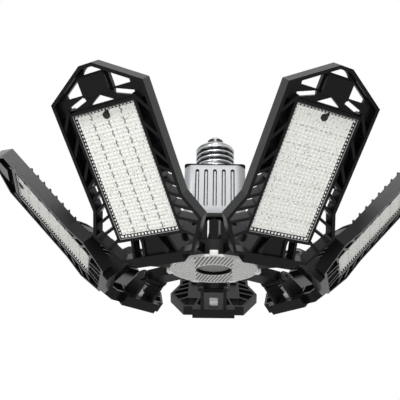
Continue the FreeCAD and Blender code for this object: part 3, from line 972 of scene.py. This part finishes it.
def thread_shape(low, high):
    """Screw shell: plain skirt, rolled helical thread, drawn-in shoulder and open top."""
    size = sizes()
    radius = high.x
    skirt_top = low.z + 2.6 * MM
    thread_top = high.z - 5.4 * MM
    foot_wall, skirt_round, opening, wall = 1.4 * MM, 0.4 * MM, 5.9 * MM, 0.5 * MM
    rows, steps = 90, 144
    profile = [(radius - foot_wall, low.z), (radius, low.z), (radius, skirt_top - skirt_round)]
    profile += [(radius, skirt_top + (thread_top - skirt_top) * step / rows) for step in range(rows + 1)]
    # the domed shoulder, from the thread in to the opening
    profile += [(radius - 0.7 * MM, thread_top + 1.0 * MM), (radius - 2.2 * MM, thread_top + 2.2 * MM),
                (radius - 4.4 * MM, thread_top + 3.5 * MM), (opening + 0.6 * MM, high.z - 0.7 * MM),
                (opening, high.z - 0.3 * MM), (opening - wall, high.z - 0.3 * MM),
                (opening - wall, high.z - 1.6 * MM)]
    shape = turned(profile, steps)
    groove = shape.verts.layers.float.new("groove")
    fade_in, fade_out = 0.5 * size.thread_pitch, 0.4 * size.thread_pitch
    root_narrowing, shade_from, shade_over = 1.3, 0.4, 0.35
    for vertex in shape.verts:
        if vertex.co.z < skirt_top - 1e-6 or vertex.co.z > thread_top + 1e-6:
            continue
        angle = math.atan2(vertex.co.y, vertex.co.x)
        rise = vertex.co.z - skirt_top
        phase = rise / size.thread_pitch - angle / (2 * math.pi)
        wave = (1 - math.cos(2 * math.pi * phase)) / 2
        fade = min(1.0, rise / fade_in, (thread_top - vertex.co.z) / fade_out)
        depth = wave ** root_narrowing * fade
        shrink = 1 - depth * size.thread_depth / radius
        vertex.co.x *= shrink
        vertex.co.y *= shrink
        # groove weight for painted shade: past shade_from the deepest parts of the thread darken towards near
        # black
        vertex[groove] = min(1.0, max(0.0, depth - shade_from) / shade_over)
    return shape


def insulator_shape(foot, top):
    """Thin ring of insulator that shows between the shell and its contact."""
    radius = 5.4 * MM
    return turned([(0, foot), (radius, foot), (radius, top), (0, top)], steps=96)


def contact_shape(wide, foot, top):
    """Domed contact at the shell's end."""
    tall = top - foot
    profile = [(0, foot), (wide * 1.05, foot), (wide * 1.02, foot + tall * 0.35),
               (wide * 0.86, foot + tall * 0.7), (wide * 0.55, foot + tall * 0.9),
               (wide * 0.25, top - 0.05 * MM), (0, top)]
    return turned(profile, steps=72)


class GARAGE_OT_base(bpy.types.Operator):
    """Make the threaded shell, its insulator and its contact"""
    bl_idname = "garage_light.base"
    bl_label = "Screw base"

    def execute(self, context):
        dress("base_collar", moulded_black())
        new_piece("threaded_shell", thread_shape(*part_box("screw_shell")), [nickel()], "hub",
                  "screw_shell")
        drop, lift, sink = 0.8 * MM, 3.4 * MM, 0.1 * MM
        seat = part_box("base_insulator")[0].z
        contact_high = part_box("centre_contact")[1]
        new_piece("glass_insulator", insulator_shape(seat - drop, seat + lift), [insulator()], "hub",
                  "base_insulator")
        button = contact_shape(contact_high.x, seat + lift - sink, contact_high.z)
        new_piece("contact_button", button, [contact_metal()], "hub", "centre_contact")
        return {"FINISHED"}


# ------------------------------------------------------------------ stage
def add_lamp(name, place, size, power):
    """Soft box that faces the lamp's middle."""
    light = bpy.data.lights.new(name, "AREA")
    light.shape = "RECTANGLE"
    light.size, light.size_y = size
    light.energy = power
    lamp = bpy.data.objects.new(name, light)
    lamp.location = place
    lamp.rotation_euler = (Vector(LAMP_AIM) - Vector(place)).to_track_quat("-Z", "Y").to_euler()
    bpy.context.scene.collection.objects.link(lamp)
    return lamp


def set_world(fill, seen):
    """Even fill light, with a white backdrop where the camera, gloss and glass look."""
    world = bpy.data.worlds.new("studio")
    bpy.context.scene.world = world
    world.use_nodes = True
    nodes, links = world.node_tree.nodes, world.node_tree.links
    nodes["Background"].inputs["Strength"].default_value = fill
    nodes["Background"].inputs["Color"].default_value = (1, 1, 1, 1)
    path = nodes.new("ShaderNodeLightPath")
    either = nodes.new("ShaderNodeMath")
    either.operation = "MAXIMUM"
    any_view = nodes.new("ShaderNodeMath")
    any_view.operation = "MAXIMUM"
    links.new(path.outputs["Is Camera Ray"], either.inputs[0])
    links.new(path.outputs["Is Glossy Ray"], either.inputs[1])
    links.new(either.outputs[0], any_view.inputs[0])
    links.new(path.outputs["Is Transmission Ray"], any_view.inputs[1])
    backdrop = nodes.new("ShaderNodeBackground")
    backdrop.inputs["Color"].default_value = (1, 1, 1, 1)
    backdrop.inputs["Strength"].default_value = seen
    mix = nodes.new("ShaderNodeMixShader")
    links.new(any_view.outputs[0], mix.inputs["Fac"])
    links.new(nodes["Background"].outputs[0], mix.inputs[1])
    links.new(backdrop.outputs[0], mix.inputs[2])
    links.new(mix.outputs[0], nodes["World Output"].inputs["Surface"])


class GARAGE_OT_stage(bpy.types.Operator):
    """Set the pale floor, the soft lamps and the camera"""
    bl_idname = "garage_light.stage"
    bl_label = "Stage"

    def execute(self, context):
        floor_shape = bmesh.new()
        half_width, floor_level, fill, backdrop = 12.0, -0.75, 0.34, 1.0
        bmesh.ops.create_grid(floor_shape, x_segments=1, y_segments=1, size=half_width,
                              matrix=Matrix.Translation((0, 0, floor_level)))
        mesh = bpy.data.meshes.new("floor")
        floor_shape.to_mesh(mesh)
        floor_shape.free()
        mesh.materials.append(finish_of("pale floor", (0.9, 0.9, 0.9), 0.9))
        floor = bpy.data.objects.new("floor", mesh)
        context.scene.collection.objects.link(floor)
        set_world(fill, backdrop)
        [add_lamp(*lamp) for lamp in LAMPS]
        self.set_camera(context)
        context.scene.view_settings.view_transform = "Standard"
        return {"FINISHED"}

    def set_camera(self, context):
        """Camera where the photograph was taken from: below the lamp, looking up at it."""
        frame_width = 400                     # pixels, as are the next two
        focal, centre_x = 573.9, 215.8
        place = (0.0004, -0.3460, -0.1720)
        data = bpy.data.cameras.new("photo view")
        data.sensor_width = 36.0
        data.lens = focal * data.sensor_width / frame_width
        data.shift_x = (frame_width / 2 - centre_x) / frame_width
        data.clip_start = 0.01
        camera = bpy.data.objects.new("photo view", data)
        pitch_up, yaw, roll = 0.419, -0.001, 0.011
        turn = (Matrix.Rotation(yaw, 4, "Z") @ Matrix.Rotation(math.pi / 2 + pitch_up, 4, "X")
                @ Matrix.Rotation(roll, 4, "Z"))
        camera.matrix_world = Matrix.Translation(place) @ turn
        context.scene.collection.objects.link(camera)
        context.scene.camera = camera


class GARAGE_PT_panel(bpy.types.Panel):
    """Settings and pieces of the garage light"""
    bl_label = "Garage Light"
    bl_idname = "GARAGE_PT_panel"
    bl_space_type = "VIEW_3D"
    bl_region_type = "UI"
    bl_category = "Garage Light"

    def draw(self, context):
        layout = self.layout
        for group in (context.scene.garage_light_sizes, context.scene.garage_light_colours):
            for name in group.__annotations__:
                layout.prop(group, name)
        for operator in OPERATORS:
            layout.operator(operator.bl_idname)


OPERATORS = (GARAGE_OT_frames, GARAGE_OT_covers, GARAGE_OT_screws, GARAGE_OT_pins, GARAGE_OT_plugs,
             GARAGE_OT_hub, GARAGE_OT_ring, GARAGE_OT_housing, GARAGE_OT_base, GARAGE_OT_stage)
CLASSES = (GarageLightSizes, GarageLightColours, *OPERATORS, GARAGE_PT_panel)


def register():
    for item in CLASSES:
        bpy.utils.register_class(item)
    bpy.types.Scene.garage_light_sizes = bpy.props.PointerProperty(type=GarageLightSizes)
    bpy.types.Scene.garage_light_colours = bpy.props.PointerProperty(type=GarageLightColours)


def unregister():
    del bpy.types.Scene.garage_light_colours
    del bpy.types.Scene.garage_light_sizes
    for item in reversed(CLASSES):
        bpy.utils.unregister_class(item)


def main():
    register()
    bpy.ops.garage_light.frames()
    bpy.ops.garage_light.covers()
    bpy.ops.garage_light.screws()
    bpy.ops.garage_light.pins()
    bpy.ops.garage_light.plugs()
    bpy.ops.garage_light.hub()
    bpy.ops.garage_light.ring()
    bpy.ops.garage_light.housing()
    bpy.ops.garage_light.base()
    bpy.ops.garage_light.stage()


if __name__ == "__main__":
    main()
